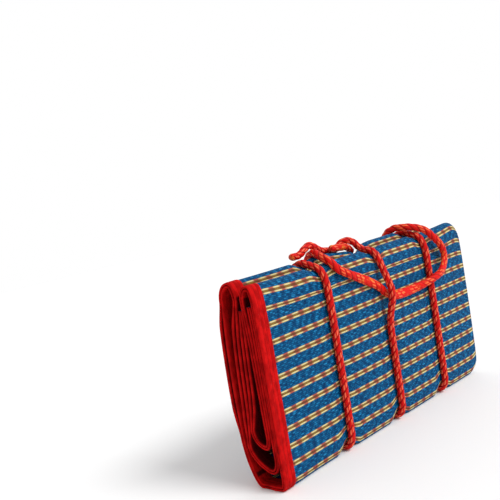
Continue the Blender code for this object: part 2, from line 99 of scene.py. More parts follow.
# The knot: the middle tie's long end crosses over its short one, and both lie along the back crest.
KNOT_FRONT_Y = 30.0
KNOT_BACK_Y = 66.0
KNOT_POINTS = 4
LONG_END_ROUTE = (
    # u, y, z, lift
    (164.0, 57.0, 333.0, 13.0),
    (173.0, 57.0, 333.0, 13.9),
    (184.0, 57.0, 333.0, 12.4),
    (197.0, 57.0, 339.0, 12.2),
    (210.0, 57.0, 344.0, 15.4),
    (223.0, 58.0, 340.0, 11.2),
    (237.0, 60.0, 334.0, 4.5),
    (249.0, 61.5, 330.0, 1.5),
    (262.0, 62.0, 328.0, 1.2),
    (278.0, 62.5, 325.0, 1.0),
    (290.0, 62.5, 327.0, 5.0),
    (300.0, 59.5, 331.0, 11.5),
    (309.0, 52.0, 334.0, 15.6),
    (315.5, 44.5, 331.0, 14.2),
    (320.5, 37.5, 323.0, 7.0),
)
SHORT_END_ROUTE = (
    # u, y, z, lift
    (323.5, 60.5, 316.0, 2.2),
    (317.0, 54.5, 317.0, 0.9),
    (308.0, 50.0, 318.0, 0.9),
    (297.0, 47.5, 321.0, 0.8),
    (283.0, 46.5, 324.0, 0.7),
    (269.0, 46.0, 326.0, 0.7),
    (256.0, 45.5, 327.0, 0.7),
)

# The carry cord: hitched over the ties on the back, over the crests and slack on the front.
HANDLE_UNDER_TIE_Z = 233.0
HANDLE_UNDER_TIE_REACH = 36.0
HANDLE_UNDER_TIE_ROOM = 0.8
HANDLE_ROUTE = (
    # u, y, z, lift
    (146.0, 84.0, 262.0, 0.0),
    (173.0, 84.0, 266.0, 14.4),
    (199.0, 84.0, 280.0, 1.5),
    (211.0, 82.0, 298.0, 0.0),
    (215.0, 70.0, 318.0, 0.0),
    (210.0, 52.0, 326.0, 0.0),
    (203.0, 34.0, 322.0, 0.0),
    (198.0, 17.0, 314.0, 0.0),
    (205.0, 2.0, 302.0, 0.0),
    (231.0, -3.0, 286.0, 0.0),
    (256.0, -3.0, 274.5, 0.0),
    (291.0, -3.0, 257.0, 0.0),
    (312.0, -3.0, 244.0, 0.0),
    (332.0, -3.0, 229.5, 0.0),
    (354.0, -3.0, 222.5, 0.0),
    (382.0, -3.0, 220.0, 0.0),
    (415.0, -3.0, 220.5, 1.0),
    (447.0, -8.0, 224.0, 6.0),
    (477.0, -10.0, 230.0, 14.2),
    (502.0, -10.0, 235.0, 9.0),
    (519.0, -10.0, 244.0, 6.0),
    (527.0, -10.0, 258.0, 5.0),
    (523.0, -10.0, 274.0, 5.5),
    (512.0, -9.0, 290.0, 6.0),
    (498.0, -5.0, 304.0, 7.5),
    (488.0, 5.0, 316.0, 11.5),
    (479.0, 16.0, 321.0, 14.4),
    (470.0, 27.0, 325.0, 14.0),
    (461.0, 40.0, 326.0, 7.0),
    (455.0, 54.0, 325.0, 2.0),
    (452.0, 70.0, 316.0, 0.0),
    (453.0, 80.0, 298.0, 0.0),
    (460.0, 84.0, 280.0, 5.0),
    (477.0, 84.0, 268.0, 14.4),
    (502.0, 84.0, 261.0, 0.5),
)

# Each leg: height and depth of its foot, its depth at three heights, its head, and its splay: how much further
# from its middle line each layer stands at the bound edge.
MID_HEIGHTS = (125.0, 190.0, 250.0)
LEGS = {
    # name: foot_z, foot_y, y_low, y_mid, y_high, head_z, head_y, splay
    "front_inner": (48.0, 12.3, 12.3, 12.7, 13.2, 286.0, 14.4, 0.1),
    "back_middle": (66.0, 62.8, 57.6, 54.6, 49.4, 293.0, 41.0, 1.9),
    "back_outer": (80.0, 74.4, 77.2, 76.8, 73.8, 293.0, 68.6, 2.4),
    "front_outer": (20.0, 3.9, 3.9, 3.9, 3.9, 281.0, 4.3, 0.15),
    "front_middle": (84.0, 20.8, 20.9, 21.9, 23.2, 292.0, 26.0, 0.5),
    "back_inner": (92.0, 50.6, 43.6, 38.8, 34.9, 279.0, 32.9, 1.6),
}

# Each fold: the stretch of depth over which it lies level, its height, and how round its two halves are.
FOLDS = {
    # name: level_from_y, level_to_y, z, bend_from, bend_to, steps
    "bottom_middle": (22.0, 26.0, 29.0, 1.0, 1.25, 3),
    "crest_back": (50.5, 51.5, 319.2, 1.0, 1.0, 3),
    "bottom_outer": (50.0, 11.5, 2.83, 1.25, 1.0, 4),
    "crest_front": (13.5, 14.5, 314.6, 1.0, 1.0, 4),
    "bottom_inner": (28.0, 30.0, 66.0, 1.0, 1.0, 3),
}

# The whole strip, from one woven end to the other: legs followed down and up in turn, and folds between them.
STRIP_LEGS = ("front_inner", "back_middle", "back_outer", "front_outer", "front_middle", "back_inner")
STRIP_FOLDS = ("bottom_middle", "crest_back", "bottom_outer", "crest_front", "bottom_inner")

# How far each depth of the bundle stands out at the bound end, and falls short at the folded end.
END_STAGGER = (
    # depth_y, bound_end, folded_end
    (0.0, 2.0, 0.0),
    (12.0, 4.5, 3.0),
    (22.0, 2.5, 6.0),
    (38.0, 3.5, 12.0),
    (56.0, 1.5, 18.0),
    (80.0, 0.0, 12.0),
)
STAGGER_REACH = 90.0

# What changes along the bundle.
NOTCH_FLAT = 5.5
NOTCH_REACH = 26.0
NOTCH_SOFTNESS = 3.5
NOTCH_SAMPLES = 7
NOTCH_FLOOR = 14.0
NOTCH_FLOOR_REACH = 62.0
NOTCH_CREST_FRONT = 9.0
NOTCH_CREST_BACK = 11.0
NOTCH_CREST_FROM = 268.0
CREST_LEAN = 10.0
CREST_LEAN_AT_END = 0.35
CREST_LEAN_DEPTH = 30.0
FOLDED_END_REACH = 100.0
BACK_CREST_DROP = 17.0
BACK_CREST_FROM_Y = 28.0
BACK_CREST_TO_Y = 40.0
KNOT_SAG = 7.0
KNOT_SAG_U = 303.0
KNOT_SAG_REACH = 72.0
CREST_CLOSE = 3.2
CREST_CLOSE_HEIGHT = 30.0
VALLEY_FRONT_Y = 28.8
VALLEY_BACK_Y = 38.2
VALLEY_OPEN_TO = 20.0
VALLEY_CLOSED_FROM = 80.0
NOTCH_SIDE = 0.075
OPEN_END_REACH = 120.0
CLOSED_SHARE = 0.93
CORNER_RADIUS = 24.0
CORNER_DROP = 19.0
UNDER_ROUND = 2.0
UNDER_ROUND_HEIGHT = 52.0
UNDER_ROUND_FROM = 25.0
UNDER_ROUND_REACH = 70.0
END_LIFT = TAPE_THICKNESS + TAPE_CLEARANCE + 0.05
FACE_SWELL = 1.6

# Where the solid sheet has its lines across the bundle, besides the four at each tie.
PLAIN_COLUMNS = (2.0, 28.0, 95.0, 250.0, 401.0, 545.0, 586.0, 600.0)
TIE_COLUMNS = (-NOTCH_REACH, -NOTCH_FLAT, NOTCH_FLAT, NOTCH_REACH)

# Where the woven sheet has its lines across the bundle.
WOVEN_TAPE_COLUMNS = (12.0, 27.0)
WOVEN_COLUMN_STEP = 19.0
WOVEN_TIE_COLUMNS = (-29.0, -20.0, -12.0, -5.0, 5.0, 12.0, 20.0, 29.0)
WOVEN_CORNER_COLUMNS = (591.0, 597.0, 602.0, 606.0, 609.0, 611.0)
TURN_STEPS = 6
RIBBED_BACK_COLUMNS = 1


def unit(value):
    """The value itself, but 0 below 0 and 1 above 1."""
    return np.clip(value, 0.0, 1.0)


def smooth(value):
    """0 below 0, 1 above 1, with a level start and end."""
    value = unit(value)
    return value * value * (3.0 - 2.0 * value)


def directions(vectors):
    """Each vector at a length of one."""
    return vectors / np.linalg.norm(vectors, axis=1)[:, None]


def leg_points(name):
    """A leg's points from foot to head."""
    foot_z, foot_y, *depths, head_z, head_y, _ = LEGS[name]
    middle = list(zip(depths, MID_HEIGHTS))
    return [(foot_y, foot_z), *middle, (head_y, head_z)]


def quarter(leg_end, level_end, bend, steps):
    """The points between a leg's end and the level part of a fold, on a quarter of an oval."""
    points = []
    for step in range(1, steps):
        angle = 0.5 * math.pi * step / steps
        across = math.cos(angle) ** bend
        along = math.sin(angle) ** bend
        y = level_end[0] + (leg_end[0] - level_end[0]) * across
        z = leg_end[1] + (level_end[1] - leg_end[1]) * along
        points.append((y, z))
    return points


def fold_points(name, before, after, steps=None):
    """A fold's points between the leg end before it and the one after it."""
    level_from, level_to, height, bend_from, bend_to, own_steps = FOLDS[name]
    steps = steps or own_steps
    first, last = (level_from, height), (level_to, height)
    down = quarter(before, first, bend_from, steps)
    up = quarter(after, last, bend_to, steps)[::-1]
    level = [first] if abs(level_to - level_from) < LEVEL_LEAST else [first, last]
    return [*down, *level, *up]


def strip_path(fold_steps=None, leg_step=None):
    """The middle line of the double sheet across the bundle: an array of (y, z)."""
    legs = []
    for index, name in enumerate(STRIP_LEGS):
        points = leg_points(name)
        if leg_step:
            points = [tuple(point) for point in smooth_route(points, leg_step)]
        legs.append(points if index % 2 else points[::-1])
    path = [*legs[0]]
    for name, before, after in zip(STRIP_FOLDS, legs, legs[1:]):
        path += [*fold_points(name, before[-1], after[0], fold_steps), *after]
    return np.array(path)


def path_normals(path):
    """Normals to the left of the path, outwards on the bundle's own faces, and longer where it turns."""
    steps = directions(np.diff(path, axis=0))
    before = np.vstack([steps[:1], steps])
    after = np.vstack([steps, steps[-1:]])
    along = directions(before + after)
    mitre = np.minimum(1.0 / np.sum(along * after, axis=1), MOST_MITRE)
    return np.column_stack([-along[:, 1], along[:, 0]]) * mitre[:, None]


def tie_share(u):
    """1 under a tie, falling to 0 beside it."""
    away = np.min([np.abs(u - tie_u) for tie_u in TIE_U], axis=0)
    return unit((NOTCH_REACH - away) / (NOTCH_REACH - NOTCH_FLAT))


def soft_tie_share(u):
    """The share with its corners eased, as the cloth takes it."""
    shifts = np.linspace(-NOTCH_SOFTNESS, NOTCH_SOFTNESS, NOTCH_SAMPLES)
    return np.mean([tie_share(u + shift) for shift in shifts], axis=0)


def settle(u, y, z, share=tie_share):
    """Points of the plain folded strip, moved to where the tied and standing bundle has them."""
    depths, bound_end, folded_end = np.array(END_STAGGER).T
    near_bound = 1.0 - smooth(u / STAGGER_REACH)
    near_folded = 1.0 - smooth((BUNDLE_LENGTH - u) / STAGGER_REACH)
    shift = near_bound * np.interp(y, depths, bound_end) - near_folded * np.interp(y, depths, folded_end)

    tied = share(u)
    past_open_end = smooth(u / OPEN_END_REACH)
    closed = 1.0 - (1.0 - CLOSED_SHARE) * past_open_end
    swell = FACE_SWELL * np.sin(math.pi * unit(z / CREST_HEIGHT)) * past_open_end
    squeezed = closed * (1.0 - NOTCH_SIDE * tied)
    from_middle = (y - BUNDLE_MIDDLE_Y) / BUNDLE_MIDDLE_Y
    new_y = BUNDLE_MIDDLE_Y + (y - BUNDLE_MIDDLE_Y) * squeezed + swell * from_middle * (1.0 - tied)

    under = unit((UNDER_ROUND_HEIGHT - z) / UNDER_ROUND_HEIGHT) ** 2
    under = under * smooth((u - UNDER_ROUND_FROM) / UNDER_ROUND_REACH)
    new_y = new_y + UNDER_ROUND * under * (1.0 - new_y / BUNDLE_DEPTH)

    floor_notch = NOTCH_FLOOR * unit(1.0 - z / NOTCH_FLOOR_REACH)
    front_share = unit(1.0 - y / BUNDLE_DEPTH)
    crest_notch = NOTCH_CREST_BACK + (NOTCH_CREST_FRONT - NOTCH_CREST_BACK) * front_share**2
    crest_notch = crest_notch * unit((z - NOTCH_CREST_FROM) / (CREST_HEIGHT - NOTCH_CREST_FROM))
    new_z = z + tied * (floor_notch - crest_notch)

    to_crest = unit((z - CREST_HEIGHT + 2.0 * CREST_CLOSE_HEIGHT) / CREST_CLOSE_HEIGHT)
    lean = CREST_LEAN * unit(1.0 - y / CREST_LEAN_DEPTH)
    lean = lean * (CREST_LEAN_AT_END + (1.0 - CREST_LEAN_AT_END) * past_open_end)
    at_folded = smooth(1.0 - (BUNDLE_LENGTH - u) / FOLDED_END_REACH)
    sag = KNOT_SAG * smooth(1.0 - np.abs(u - KNOT_SAG_U) / KNOT_SAG_REACH)
    on_back = smooth((y - BACK_CREST_FROM_Y) / (BACK_CREST_TO_Y - BACK_CREST_FROM_Y))
    drop = lean * (1.0 - at_folded) + on_back * (BACK_CREST_DROP * at_folded + sag)
    new_z = new_z - drop * to_crest
    closing = smooth((u - VALLEY_OPEN_TO) / (VALLEY_CLOSED_FROM - VALLEY_OPEN_TO)) * to_crest * CREST_CLOSE
    towards_back = unit(y / VALLEY_FRONT_Y) * (y < BUNDLE_VALLEY_Y)
    towards_front = unit((BUNDLE_DEPTH - y) / (BUNDLE_DEPTH - VALLEY_BACK_Y)) * (y > BUNDLE_VALLEY_Y)
    new_y = new_y + closing * (towards_back - towards_front)

    into_corner = unit((u - (BUNDLE_LENGTH - CORNER_RADIUS)) / CORNER_RADIUS)
    corner = CORNER_DROP * (1.0 - np.sqrt(1.0 - into_corner**2))
    half = 0.5 * CREST_HEIGHT
    new_z = new_z - corner * np.clip((z - half) / half, -1.0, 1.0) ** 3
    lift = END_LIFT * (1.0 - smooth((u - TAPE_WIDTH) / TAPE_WIDTH))
    new_z = new_z + lift * unit(1.0 - z / CREST_HEIGHT)
    return np.stack([u + shift, new_y, new_z], axis=-1)


def to_world(points):
    """Bundle millimetres (u, y, z) to metres, with the origin under the middle of the bundle."""
    return (np.asarray(points, dtype=float) - (0.5 * BUNDLE_LENGTH, ORIGIN_Y, 0.0)) * MM


# The cords' middle lines, as the solids have them


def convex_loop(points):
    """The corners of the tight loop round a set of (y, z) points, in order."""
    ordered = sorted(map(tuple, points))

    def chain(sequence):
        kept = []
        for point in sequence:
            while len(kept) > 1:
                (y0, z0), (y1, z1) = kept[-2], kept[-1]
                if (y1 - y0) * (point[1] - z0) - (z1 - z0) * (point[0] - y0) > 0.0:
                    break
                kept.pop()
            kept.append(point)
        return kept[:-1]

    return np.array(chain(ordered) + chain(ordered[::-1]))


def rounded_loop(corners, distance):
    """A closed line at a distance outside the loop's corners, with more points where it bends."""
    before = directions(corners - np.roll(corners, 1, axis=0))
    after = directions(np.roll(corners, -1, axis=0) - corners)
    line = []
    for corner, come, leave in zip(corners, before, after):
        start = math.atan2(-come[0], come[1])
        turn = math.atan2(come[0] * leave[1] - come[1] * leave[0], come @ leave)
        for share in np.linspace(0.0, 1.0, 2 + int(turn / BEND_STEP)):
            angle = start + share * turn
            line.append(corner + distance * np.array([math.cos(angle), math.sin(angle)]))
    kept = [line[0]]
    for point in line[1:]:
        if np.linalg.norm(point - kept[-1]) > CLOSEST_POINTS:
            kept.append(point)
    return np.array(kept)


@cache
def outer_layer():
    """The solid sheet's lines across the bundle: their places along it and their points."""
    path = strip_path()
    y, z = (path + path_normals(path) * (0.5 * SHEET_SPACING)).T
    beside_ties = [tie_u + step for tie_u in TIE_U for step in TIE_COLUMNS]
    columns = np.array(sorted([*PLAIN_COLUMNS, *beside_ties]))
    return columns, [settle(np.full(len(path), u), y, z) for u in columns]


def outline_at(u):
    """The tight loop round the bundle at one place along it."""
    columns, layers = outer_layer()
    after = int(np.clip(np.searchsorted(columns, u), 1, len(columns) - 1))
    share = (u - columns[after - 1]) / (columns[after] - columns[after - 1])
    return convex_loop((layers[after - 1] + (layers[after] - layers[after - 1]) * share)[:, 1:])


def pushed_out(outline, point, distance):
    """A (y, z) point moved square to the outline until it is at a distance outside it."""
    ahead = np.roll(outline, -1, axis=0)
    along = ahead - outline
    share = unit(np.sum((point - outline) * along, axis=1) / np.sum(along**2, axis=1))
    foot = outline + along * share[:, None]
    nearest = np.argmin(np.linalg.norm(point - foot, axis=1))
    away = point - foot[nearest]
    outward = np.array([along[nearest, 1], -along[nearest, 0]])
    if away @ outward <= 0.0 or np.linalg.norm(away) < 0.01:
        away = outward
    return foot[nearest] + distance * away / np.linalg.norm(away)


def smooth_route(points, step):
    """Points every step on a smooth curve through the route's own points."""
    points = np.asarray(points, dtype=float)
    spans = np.linalg.norm(np.diff(points[:, :3], axis=0), axis=1)
    slopes = np.diff(points, axis=0) / spans[:, None]
    both = (spans[1:] + spans[:-1])[:, None]
    inner = (slopes[:-1] * spans[1:, None] + slopes[1:] * spans[:-1, None]) / both
    tangents = np.vstack([slopes[:1], inner, slopes[-1:]])
    dense = [points[0]]
    for index, span in enumerate(spans):
        for t in np.linspace(0.0, 1.0, 1 + max(1, round(span / step)))[1:]:
            start = points[index] * (1.0 - 3.0 * t**2 + 2.0 * t**3)
            start = start + tangents[index] * span * (t - 2.0 * t**2 + t**3)
            end = points[index + 1] * (3.0 * t**2 - 2.0 * t**3)
            dense.append(start + end + tangents[index + 1] * span * (t**3 - t**2))
    return np.array(dense)


def tie_loop(tie_u):
    """The middle line of one tie round the bundle, finely divided: an array of (u, y, z)."""
    loop = rounded_loop(outline_at(tie_u), TIE_SEAT)
    loop = np.column_stack([np.full(len(loop), tie_u), loop])
    dense = []
    for point, ahead in zip(loop, np.roll(loop, -1, axis=0)):
        count = 1 + int(np.linalg.norm(ahead - point) / FINE_STEP)
        dense += [point + (ahead - point) * share for share in np.arange(count) / count]
    return np.array(dense)


def seated(rows, seat):
    """Each row's point moved out until it lies on the bundle, or stands off it by the row's lift."""
    laid = []
    for u, y, z, lift in rows:
        laid.append((u, *pushed_out(outline_at(u), np.array([y, z]), seat + max(lift, 0.0))))
    return laid


def middle_tie_route():
    """The middle tie from its long free end, round the bundle and through the knot to its short end."""
    loop = tie_loop(TIE_U[1])
    front = loop[:, 1] < 0.5 * BUNDLE_MIDDLE_Y
    over = np.exp(-(((loop[:, 2] - HANDLE_UNDER_TIE_Z) / HANDLE_UNDER_TIE_REACH) ** 2))
    loop[:, 1] -= front * over * (2.0 * HANDLE_RADIUS + CLEARANCE + HANDLE_UNDER_TIE_ROOM)
    on_top = loop[:, 2] > MID_HEIGHTS[-1]
    ahead = np.roll(loop, -1, axis=0)
    starts = on_top & (loop[:, 1] >= KNOT_FRONT_Y) & (ahead[:, 1] < KNOT_FRONT_Y)
    loop = np.roll(loop, -int(np.argmax(starts)) - 1, axis=0)
    in_knot = (loop[:, 1] < KNOT_BACK_Y) & (loop[:, 1] > KNOT_FRONT_Y)
    loop = loop[~(in_knot & (loop[:, 2] > MID_HEIGHTS[-1]))]
    long_end = smooth_route([*seated(LONG_END_ROUTE, TIE_SEAT), loop[0], loop[KNOT_POINTS]], FINE_STEP)
    short_end = [loop[-1 - KNOT_POINTS], loop[-1], *seated(SHORT_END_ROUTE, TIE_SEAT)]
    short_end = smooth_route(short_end, FINE_STEP)
    join = int(np.argmin(np.linalg.norm(long_end - loop[0], axis=1)))
    leave = int(np.argmin(np.linalg.norm(short_end - loop[-1], axis=1)))
    return np.vstack([long_end[:join], loop, short_end[leave + 1:]])


def handle_route():
    """The carry cord's middle line, laid on the bundle: an array of (u, y, z)."""
    return np.array(seated(smooth_route(HANDLE_ROUTE, FINE_STEP), HANDLE_SEAT))


# Lines and ropes


def lengths_along(points):
    """How far along a line each of its points is."""
    return np.concatenate([[0.0], np.cumsum(np.linalg.norm(np.diff(points, axis=0), axis=1))])


def at_places(places, along, points):
    """Where a line is at each of some places along it."""
    return np.column_stack([np.interp(places, along, values) for values in points.T])


def resampled(points, step, closed=False):
    """A line's points again, evenly spaced about a step apart."""
    points = np.vstack([points, points[:1]]) if closed else points
    along = lengths_along(points)
    count = max(2, round(along[-1] / step))
    places = np.linspace(0.0, along[-1], count + 1)
    return at_places(places[:-1] if closed else places, along, points)


def eased(points, reach, closed=False):
    """A line with each point at the mean of its neighbours, keeping its ends."""
    weights = np.hanning(2 * reach + 3)[1:-1]
    weights /= weights.sum()
    if closed:
        padded = np.vstack([points[-reach:], points, points[:reach]])
    else:
        before = 2.0 * points[0] - points[reach:0:-1]
        after = 2.0 * points[-1] - points[-2:-reach - 2:-1]
        padded = np.vstack([before, points, after])
    return np.column_stack([np.convolve(values, weights, "valid") for values in padded.T])


def carried_frames(points, closed, first_side):
    """Tangents, sides and ups along a line, turning no more than the line does."""
    if closed:
        tangents = np.roll(points, -1, axis=0) - np.roll(points, 1, axis=0)
    else:
        tangents = np.gradient(points, axis=0)
    tangents = directions(tangents)
    side = np.array(first_side, dtype=float)
    sides = []
    for tangent in tangents:
        side = side - tangent * (side @ tangent)
        side /= np.linalg.norm(side)
        sides.append(side)
    sides = np.array(sides)
    return tangents, sides, np.cross(tangents, sides)


STRAND_COUNT = 3
ROPE_POINTS = 30
ROPE_STEP = 1.25
TIE_EASE = 2
KNOT_EASE = 3
HANDLE_EASE = 4
ROPE_VALLEY = 0.87
STRAND_FULLNESS = 0.75
OPEN_LAY = 0.6
SPREAD_SHARE = 0.75
HANDLE_SQUASH = 0.36
HANDLE_SLACK_PARTS = (
    # distance along the cord, slack
    (0.0, 0.0),
    (225.0, 0.0),
    (248.0, 0.6),
    (275.0, 0.8),
    (297.0, 0.3),
    (318.0, 0.0),
    (340.0, 0.2),
    (368.0, 1.0),
    (412.0, 1.0),
    (448.0, 0.3),
    (470.0, 0.0),
    (498.0, 0.0),
    (520.0, 0.8),
    (545.0, 0.7),
    (575.0, 0.0),
)
SHORT_END_SLACK = ((908.0, 0.0), (930.0, 1.0))
ROPE_END_STEPS = (0.35, 0.65, 0.86, 0.97)
ROPE_END_REACH = 0.9
ROPE_END_LEAST = 0.3
ROPE_END_TIP = 0.8


def strand_profile():
    """The rope's outline in one place: its radius at each point round, 1 on a strand's crest."""
    around = np.arange(ROPE_POINTS) / ROPE_POINTS
    crest = np.abs(np.cos(math.pi * STRAND_COUNT * around))
    return around, ROPE_VALLEY + (1.0 - ROPE_VALLEY) * crest**STRAND_FULLNESS


def rope(name, route, radius, lay, closed, material, first_side=(1.0, 0.0, 0.0), slack=None, squash=0.0):
    """A twisted rope along a (u, y, z) line: where slack nears 1 its lay opens and squash flattens it."""
    along = lengths_along(np.vstack([route, route[:1]]) if closed else route)
    total = along[-1]
    along = along[:len(route)]
    turns = round(total / lay) if closed else total / lay
    _, sides, ups = carried_frames(route, closed, first_side)
    around, profile = strand_profile()
    loose = np.zeros(len(route)) if slack is None else np.interp(along, *np.array(slack).T)
    rings = []
    for index, centre in enumerate(route):
        angle = 2.0 * math.pi * (around + turns * along[index] / total)
        reach = radius * (profile + (1.0 - profile) * OPEN_LAY * loose[index])
        ring = np.outer(np.cos(angle) * reach, sides[index]) + np.outer(np.sin(angle) * reach, ups[index])
        flat = squash * loose[index]
        ring *= (1.0 + SPREAD_SHARE * flat, 1.0 - flat, 1.0 + SPREAD_SHARE * flat)
        rings.append(centre + ring + (0.0, flat * radius, 0.0))
    obj = rope_mesh(name, rings, along, total, closed, material, route)
    values = np.zeros(len(obj.data.vertices))
    values[:len(route) * ROPE_POINTS] = np.repeat(loose, ROPE_POINTS)
    values[len(route) * ROPE_POINTS:] = loose[-1]
    store(obj.data, "slack", values)
    return obj


def add_band(faces, places, rings, spots, way=1):
    """Adds the faces between two rings of points, and their corners' places round the rope and along it."""
    near, far = (range(ring * ROPE_POINTS, (ring + 1) * ROPE_POINTS) for ring in rings)
    low, high = spots
    for corner in range(ROPE_POINTS):
        turn = (corner + 1) % ROPE_POINTS
        left, right = corner / ROPE_POINTS, (corner + 1) / ROPE_POINTS
        faces.append((near[corner], near[turn], far[turn], far[corner])[::way])
        places += [(left, low), (right, low), (right, high), (left, high)][::way]


def rope_mesh(name, rings, along, total, closed, material, route):
    """Joins the rings of a rope into one mesh, with rounded ends where it isn't a loop."""
    count = len(rings)
    faces, places = [], []
    for ring in range(count if closed else count - 1):
        ahead = (ring + 1) % count
        far = total if ahead == 0 else along[ahead]
        add_band(faces, places, (ring, ahead), (along[ring], far))
    rings = list(rings)
    if not closed:
        for ring, way in ((0, -1), (count - 1, 1)):
            add_rope_end(faces, places, rings, ring, way, route, along[ring])
    mesh = bpy.data.meshes.new(name)
    mesh.from_pydata(to_world(np.vstack(rings)).tolist(), [], faces)
    layer = mesh.uv_layers.new(name="lay")
    layer.uv.foreach_set("vector", np.array(places, dtype=np.float32).ravel())
    return finished(name, mesh, material)


def add_rope_end(faces, places, rings, ring, way, route, place):
    """Adds the rings, faces and places that round off one end of a rope."""
    last, centre = rings[ring], route[ring]
    out = centre - route[ring - way]
    out /= np.linalg.norm(out)
    reach = ROPE_END_REACH * np.linalg.norm(last - centre, axis=1).max()
    for step in ROPE_END_STEPS:
        shrink = ROPE_END_LEAST + (1.0 - ROPE_END_LEAST) * math.sqrt(1.0 - step**2)
        if step == ROPE_END_STEPS[-1]:
            shrink *= ROPE_END_TIP
        rings.append(centre + (last - centre) * shrink + out * reach * step)
        add_band(faces, places, (ring, len(rings) - 1), (place, place + way), way)
        ring = len(rings) - 1
    faces.append(tuple(range(ring * ROPE_POINTS, (ring + 1) * ROPE_POINTS))[::way])
    places += [(corner / ROPE_POINTS, place + way) for corner in range(ROPE_POINTS)]


# Pieces


def finished(name, mesh, material):
    """Makes a mesh's object, gives it its material and links it to the scene."""
    mesh.shade_smooth()
    mesh.validate()
    obj = bpy.data.objects.new(name, mesh)
    mesh.materials.append(material)
    bpy.context.scene.collection.objects.link(obj)
    return obj


def store(mesh, name, values):
    """Keeps a value at each of a mesh's points, for its material."""
    mesh.attributes.new(name, "FLOAT", "POINT").data.foreach_set("value", values.astype(np.float32))


def woven_columns():
    """(u, angle) of each line of points across the woven sheet, from one bound edge to the other."""
    turn_u = BUNDLE_LENGTH - 0.5 * SHEET_SPACING
    fixed = [EDGE_U, *WOVEN_TAPE_COLUMNS]
    for tie_u in TIE_U:
        fixed += [tie_u + step for step in WOVEN_TIE_COLUMNS]
    fixed += WOVEN_CORNER_COLUMNS
    first, last = WOVEN_TAPE_COLUMNS[-1] + WOVEN_COLUMN_STEP, WOVEN_CORNER_COLUMNS[0]
    plain = np.arange(first, last, WOVEN_COLUMN_STEP)
    spare = [u for u in plain if min(abs(u - place) for place in fixed) > 0.5 * WOVEN_COLUMN_STEP]
    one_way = [(u, 0.0) for u in sorted(fixed + spare)]
    turn = [(turn_u, math.pi * step / TURN_STEPS) for step in range(TURN_STEPS + 1)]
    return one_way + turn + [(u, math.pi) for u, _ in one_way[::-1]]


SPLAY_FOOT = 45.0
SPLAY_HEAD = 40.0
SPLAY_REACH = 45.0
ON_LEG = 1.5


def leg_splay(path):
    """How far apart the two layers stand at the bound edge, at each point of the path."""
    splay = np.zeros(len(path))
    for name, (*_, extra) in LEGS.items():
        points = np.array(leg_points(name))
        foot_z, head_z = points[0, 1], points[-1, 1]
        height = path[:, 1]
        on_leg = np.abs(path[:, 0] - np.interp(height, points[:, 1], points[:, 0])) < ON_LEG
        on_leg &= (height > foot_z) & (height < head_z)
        taper = smooth((height - foot_z) / SPLAY_FOOT) * smooth((head_z - height) / SPLAY_HEAD)
        splay[on_leg] = extra * taper[on_leg]
    return splay


def splay_at(u):
    """The share of the splay left at a distance from the bound edge."""
    return 1.0 - smooth((np.asarray(u) - EDGE_U) / SPLAY_REACH)


def dense_strip():
    """The path, its normals, its distances along the outer face and its splay, all finely divided."""
    path = resampled(strip_path(FOLD_STEPS, LEG_ROW_STEP), PATH_STEP)
    path = eased(path, PATH_EASE)
    normals = directions(path_normals(path))
    face = path + normals * (0.5 * (SHEET_SPACING + SHEET_THICKNESS))
    return path, normals, lengths_along(face), leg_splay(path)


def strip_stretch(path, along):
    """Where the ribbed stretch of the strip begins and ends, and where its marked stripe is."""
    after_crest = along > CREST_SPLIT * along[-1]
    height = path[:, 1]
    first_crest = np.argmax(np.where(after_crest, 0.0, height))
    last_crest = np.argmax(np.where(after_crest, height, 0.0))
    lowest = np.argmin(np.where(after_crest, height, np.inf))
    start = np.flatnonzero(height[:first_crest] < FINE_FROM_Z)[-1]
    end = last_crest + np.argmax(height[last_crest:] < FINE_FROM_Z)
    stripe = lowest + np.argmax(height[lowest:last_crest] > STRIPE_Z)
    return along[[start, end, stripe]]


def woven_rows():
    """Ribbed rows and plain rows along the strip, in ribs from the marked stripe's middle."""
    path, normals, along, splay = dense_strip()
    start, end, stripe = strip_stretch(path, along)
    in_ribs = (along - stripe) / RIB + 0.5
    first, last = math.ceil((start - stripe) / RIB + 0.5), math.floor((end - stripe) / RIB + 0.5)
    turning = np.abs(np.gradient(np.unwrap(np.arctan2(normals[:, 1], normals[:, 0])), along))
    steps = np.where(turning > BENT_FROM, FOLD_ROW_STEP, LEG_ROW_STEP) / RIB
    plain = [in_ribs[0]]
    for place, step in zip(in_ribs, steps):
        if first <= place <= last:
            rounded = round(place)
            if rounded - plain[-1] >= step - STEP_SLACK and abs(rounded - place) < ROW_MATCH:
                plain.append(float(rounded))
        elif place - plain[-1] >= step:
            plain.append(place)
    plain.append(in_ribs[-1])
    plain = [row for row in plain if row < first - 0.5 or first <= row <= last or row > last + 0.5]
    plain = sorted(set(plain) | {float(first), float(last)})
    fine = np.arange(first * ROWS_PER_RIB, last * ROWS_PER_RIB + 1) / ROWS_PER_RIB
    rows = np.array(sorted(set(plain) | set(fine.tolist())))
    is_plain = np.isin(rows, plain)
    path, normals = at_places(rows, in_ribs, path), at_places(rows, in_ribs, normals)
    ribbed = (rows >= first) & (rows <= last)
    return rows, is_plain, ribbed, path, normals, np.interp(rows, in_ribs, splay)


def rib_height(rows, ribbed):
    """How far each row stands out: half round across each straw, and not quite alike from one to the next."""
    rib = np.floor(rows)
    uneven = RIB_UNEVEN * np.sin(rib * UNEVEN_TURNS[0]) * np.cos(rib * UNEVEN_TURNS[1])
    raised = np.sin(math.pi * (rows - rib)) * (RIB_RAISE + uneven)
    return np.where(ribbed, raised, 0.5 * RIB_RAISE)


